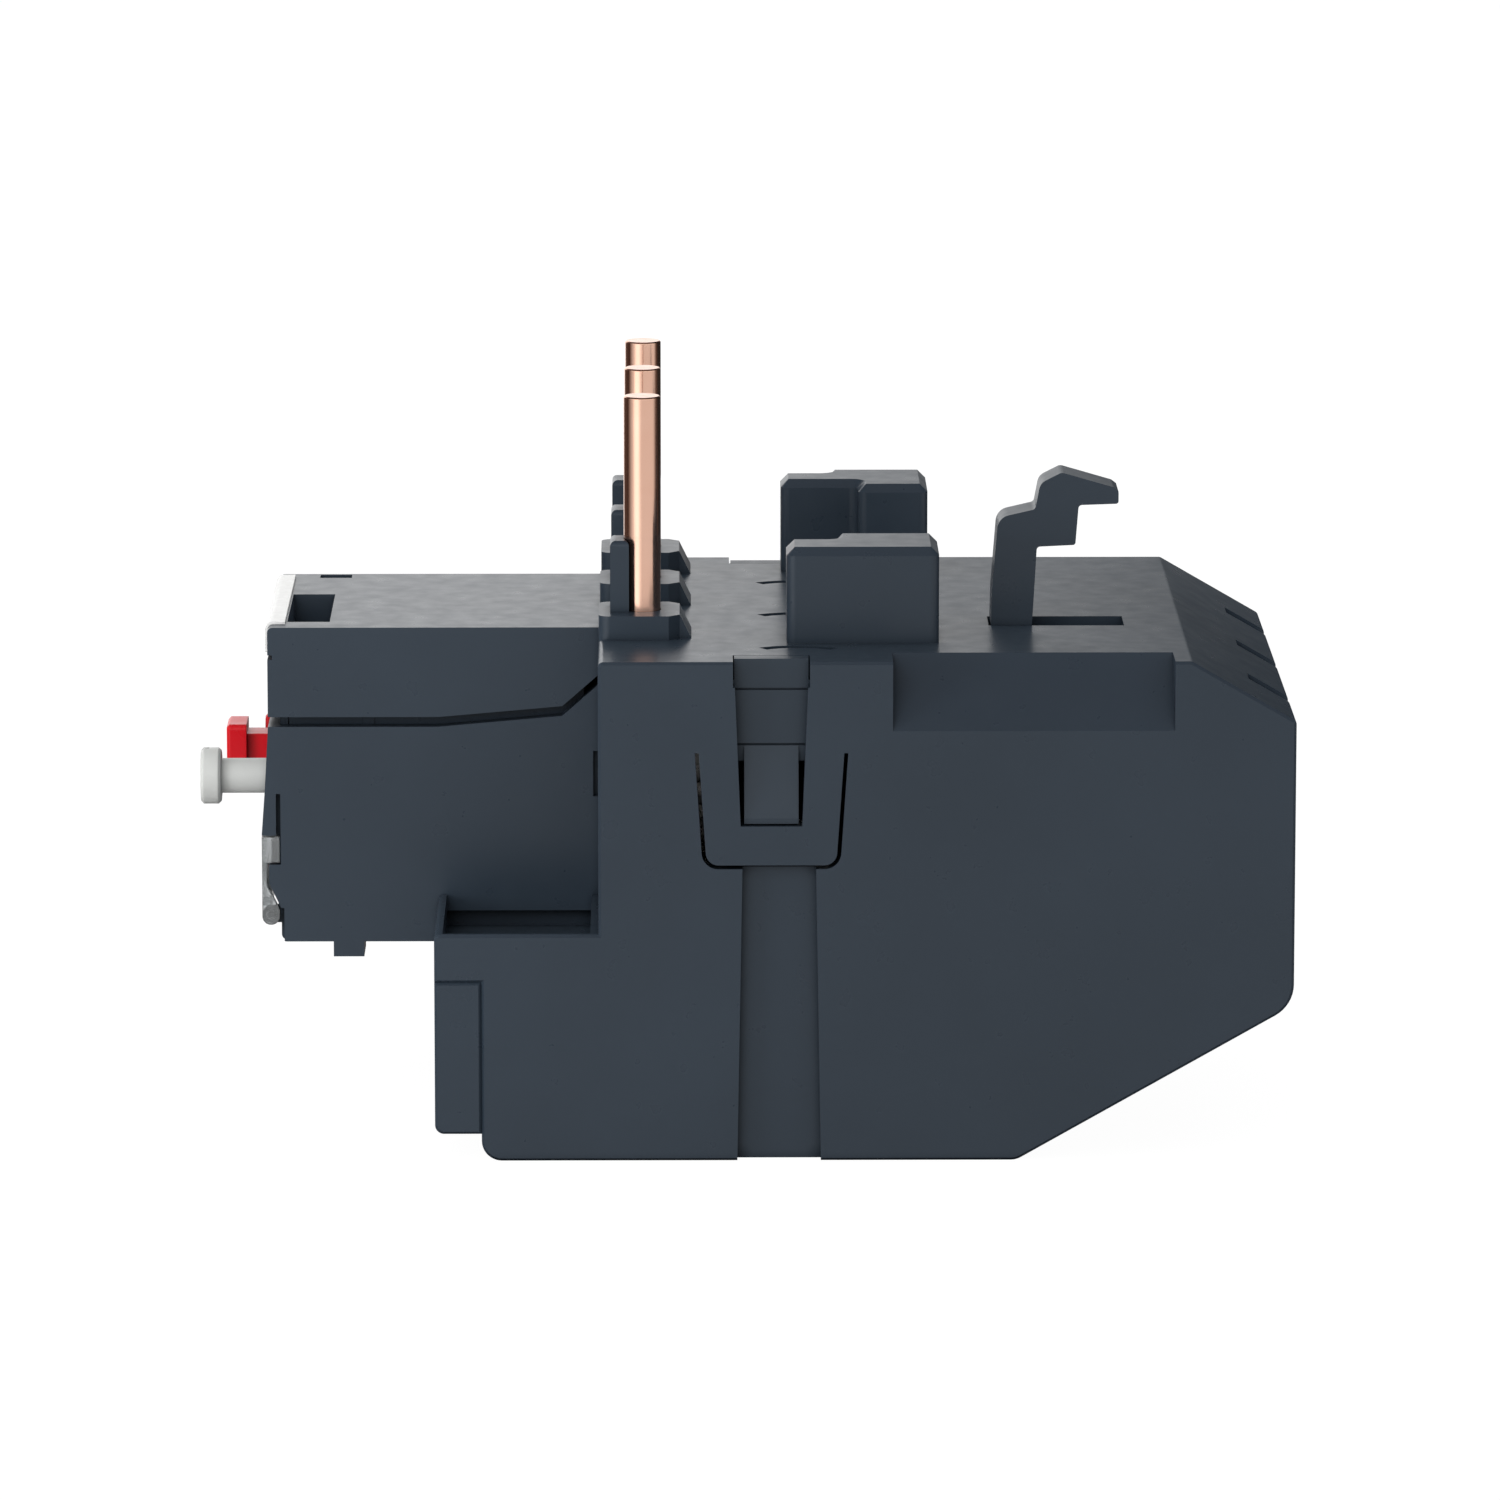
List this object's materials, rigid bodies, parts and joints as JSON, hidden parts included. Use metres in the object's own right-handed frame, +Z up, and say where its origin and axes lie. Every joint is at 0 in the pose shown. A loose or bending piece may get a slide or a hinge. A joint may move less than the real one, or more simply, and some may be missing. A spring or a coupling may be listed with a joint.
{
  "type": "thermal overload relay",
  "caption": "Plug-in motor protection relay with copper rods on top, a snap hook behind, screw clamps below and a control face with buttons, dial and clear cover.",
  "frame": {"origin": "on the flat sole, straight below the axis of the middle rod", "axes": "+Z up along the rods, +Y from the control face to the back, +X across the poles to the right"},
  "size_m": [0.0699, 0.1203, 0.0817],
  "materials": {
    "housing_plastic": "fine moulded grain, blue-grey black thermoplastic",
    "chassis_plastic": "moulded thermoplastic, same colour as the housing",
    "label_white": "bare satin label stock",
    "clear_cover": "smoked clear polycarbonate",
    "dial_plastic": "light grey moulded dial",
    "red_plastic": "signal red moulded plastic",
    "pale_plastic": "pale grey moulded plastic",
    "slider_plastic": "natural glass-filled plastic",
    "flag_orange": "orange indicator plastic",
    "copper": "drawn copper, polished",
    "contact_brass": "stamped brass strip",
    "steel": "plain ground steel",
    "zinc_steel": "zinc-plated steel",
    "spring_steel": "bright resistance ribbon and spring wire"
  },
  "bodies": {
    "housing": {"housing_shell": "housing_plastic", "chassis_base": "chassis_plastic", "terminal_shroud": "housing_plastic", "module_lower_shell": "housing_plastic", "module_upper_shell": "housing_plastic", "front_plate": "housing_plastic", "marker_strip": "label_white", "cover_pins": "steel", "stop_spring": "spring_steel", "reset_spring": "spring_steel", "test_spring": "spring_steel", "lever_pin": "steel", "fixed_contact_1": "contact_brass", "fixed_contact_2": "contact_brass", "conductor_rod_left": "copper", "terminal_bar_left": "copper", "heater_ribbon_left": "spring_steel", "bimetal_left": "steel", "conductor_rod_middle": "copper", "terminal_bar_middle": "copper", "heater_ribbon_middle": "spring_steel", "bimetal_middle": "steel", "conductor_rod_right": "copper", "terminal_bar_right": "copper", "heater_ribbon_right": "spring_steel", "bimetal_right": "steel"},
    "cover": {"sealing_cover": "clear_cover"},
    "dial": {"setting_dial": "dial_plastic"},
    "stop": {"stop_button": "red_plastic"},
    "reset": {"reset_plunger": "pale_plastic"},
    "reset_selector": {"reset_cap": "pale_plastic"},
    "test": {"test_button": "red_plastic"},
    "slider": {"trip_slider": "slider_plastic"},
    "lever": {"trip_lever": "slider_plastic"},
    "carrier": {"contact_carrier": "slider_plastic", "contact_bridge": "contact_brass", "trip_flag": "flag_orange"},
    "hook": {"contactor_hook": "housing_plastic"},
    "cage_left": {"clamp_cage_left": "zinc_steel"},
    "screw_left": {"terminal_screw_left": "zinc_steel"},
    "cage_middle": {"clamp_cage_middle": "zinc_steel"},
    "screw_middle": {"terminal_screw_middle": "zinc_steel"},
    "cage_right": {"clamp_cage_right": "zinc_steel"},
    "screw_right": {"terminal_screw_right": "zinc_steel"},
    "saddle_1": {"aux_saddle_1": "zinc_steel"},
    "aux_driver_1": {"aux_screw_1": "zinc_steel"},
    "saddle_2": {"aux_saddle_2": "zinc_steel"},
    "aux_driver_2": {"aux_screw_2": "zinc_steel"}
  },
  "joints": [
    {"name": "stop_press", "type": "slide", "parent": "housing", "child": "stop", "axis": [0, 1, 0], "range_m": [0, 0.0025], "stiffness_N_per_m": 250, "springref_m": -0.0015, "deforming": ["stop_spring"]},
    {"name": "reset_press", "type": "slide", "parent": "housing", "child": "reset", "axis": [0, 1, 0], "range_m": [0, 0.0025], "stiffness_N_per_m": 250, "springref_m": -0.0015, "deforming": ["reset_spring"]},
    {"name": "reset_mode_turn", "type": "hinge", "parent": "reset", "child": "reset_selector", "pos_m": [0.01, -0.047, 0.0372], "axis": [0, 1, 0], "range_deg": [0, 90]},
    {"name": "test_press", "type": "slide", "parent": "housing", "child": "test", "axis": [0, 1, 0], "range_m": [0, 0.001], "stiffness_N_per_m": 250, "springref_m": -0.0015, "deforming": ["test_spring"]},
    {"name": "dial_turn", "type": "hinge", "parent": "housing", "child": "dial", "pos_m": [0.004, -0.04, 0.0269], "axis": [0, 1, 0], "range_deg": [-135, 135]},
    {"name": "cover_hinge", "type": "hinge", "parent": "housing", "child": "cover", "pos_m": [0, -0.0413, 0.02285], "axis": [1, 0, 0], "range_deg": [0, 105]},
    {"name": "hook_slide", "type": "slide", "parent": "housing", "child": "hook", "axis": [0, 1, 0], "range_m": [0, 0.0096]},
    {"name": "trip_slide", "type": "slide", "parent": "housing", "child": "slider", "axis": [1, 0, 0], "range_m": [0, 0.002]},
    {"name": "lever_turn", "type": "hinge", "parent": "housing", "child": "lever", "pos_m": [0.0107, -0.011, 0.045], "axis": [0, 0, 1], "range_deg": [-9.5, 0]},
    {"name": "contact_shift", "type": "slide", "parent": "housing", "child": "carrier", "axis": [1, 0, 0], "range_m": [-0.00181, 0]},
    {"name": "terminal_screw_turn_left", "type": "hinge", "parent": "housing", "child": "screw_left", "pos_m": [-0.01655, -0.02, 0.01], "axis": [0, 1, 0], "range_deg": [0, 1441]},
    {"name": "cage_slide_left", "type": "slide", "parent": "housing", "child": "cage_left", "axis": [0, 1, 0], "range_m": [-0.005, 0]},
    {"name": "terminal_screw_turn_middle", "type": "hinge", "parent": "housing", "child": "screw_middle", "pos_m": [0.00545, -0.02, 0.01], "axis": [0, 1, 0], "range_deg": [0, 1441]},
    {"name": "cage_slide_middle", "type": "slide", "parent": "housing", "child": "cage_middle", "axis": [0, 1, 0], "range_m": [-0.005, 0]},
    {"name": "terminal_screw_turn_right", "type": "hinge", "parent": "housing", "child": "screw_right", "pos_m": [0.02745, -0.02, 0.01], "axis": [0, 1, 0], "range_deg": [0, 1441]},
    {"name": "cage_slide_right", "type": "slide", "parent": "housing", "child": "cage_right", "axis": [0, 1, 0], "range_m": [-0.005, 0]},
    {"name": "saddle_slide_1", "type": "slide", "parent": "housing", "child": "saddle_1", "axis": [0, 1, 0], "range_m": [0, 0.002]},
    {"name": "aux_screw_turn_1", "type": "hinge", "parent": "saddle_1", "child": "aux_driver_1", "pos_m": [-0.002, -0.04, 0.0483], "axis": [0, 1, 0], "range_deg": [0, 1029]},
    {"name": "saddle_slide_2", "type": "slide", "parent": "housing", "child": "saddle_2", "axis": [0, 1, 0], "range_m": [0, 0.002]},
    {"name": "aux_screw_turn_2", "type": "hinge", "parent": "saddle_2", "child": "aux_driver_2", "pos_m": [0.0073, -0.04, 0.0483], "axis": [0, 1, 0], "range_deg": [0, 1029]}
  ],
  "couplings": [
    {"joint": "lever_turn", "follows": "trip_slide", "rad_per_m": -81.967},
    {"joint": "contact_shift", "follows": "trip_slide", "ratio": -0.9},
    {"joint": "terminal_screw_turn_left", "follows": "cage_slide_left", "rad_per_m": -5026.5},
    {"joint": "terminal_screw_turn_middle", "follows": "cage_slide_middle", "rad_per_m": -5026.5},
    {"joint": "terminal_screw_turn_right", "follows": "cage_slide_right", "rad_per_m": -5026.5},
    {"joint": "aux_screw_turn_1", "follows": "saddle_slide_1", "rad_per_m": 8976},
    {"joint": "aux_screw_turn_2", "follows": "saddle_slide_2", "rad_per_m": 8976}
  ]
}
